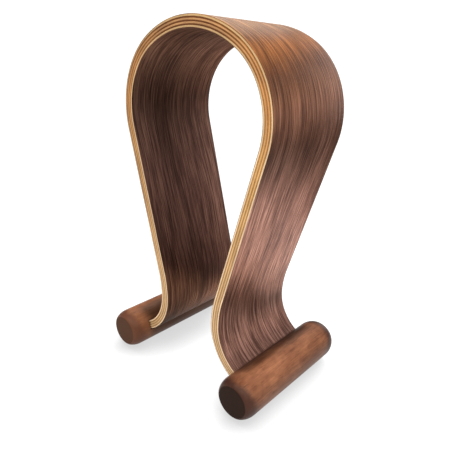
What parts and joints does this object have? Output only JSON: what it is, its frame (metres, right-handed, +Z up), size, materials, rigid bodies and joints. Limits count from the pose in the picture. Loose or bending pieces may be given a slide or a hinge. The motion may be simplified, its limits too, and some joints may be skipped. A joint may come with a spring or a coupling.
{
  "type": "headphone stand",
  "caption": "Desk stand for over-ear headphones: an omega-shaped strip of bent walnut-faced plywood standing in two round hardwood foot bars.",
  "frame": {"origin": "on the desk, at the middle of the footprint, midway between the two foot bars and midway along them", "axes": "+Z up, +Y from the front to the rear along the foot bars and across the strip's width, +X towards the right foot bar"},
  "size_m": [0.157, 0.115, 0.2623],
  "materials": {
    "walnut_face": "straight-grained walnut veneer, satin oil",
    "long_grain_ply": "birch ply, long grain at the edge, satin lacquer",
    "cross_grain_ply": "birch ply, end grain at the edge, satin lacquer",
    "stained_bar": "hardwood stained walnut brown, satin lacquer",
    "screw_steel": "zinc-plated steel",
    "pad_rubber": "matt"
  },
  "bodies": {
    "root": {"outer_face_veneer": "walnut_face", "core_ply_1": "long_grain_ply", "core_ply_2": "cross_grain_ply", "core_ply_3": "long_grain_ply", "core_ply_4": "cross_grain_ply", "core_ply_5": "long_grain_ply", "core_ply_6": "cross_grain_ply", "core_ply_7": "long_grain_ply", "inner_face_veneer": "walnut_face", "left_foot_bar": "stained_bar", "left_front_screw": "screw_steel", "left_front_pad": "pad_rubber", "left_rear_screw": "screw_steel", "left_rear_pad": "pad_rubber", "right_foot_bar": "stained_bar", "right_front_screw": "screw_steel", "right_front_pad": "pad_rubber", "right_rear_screw": "screw_steel", "right_rear_pad": "pad_rubber"}
  },
  "joints": []
}
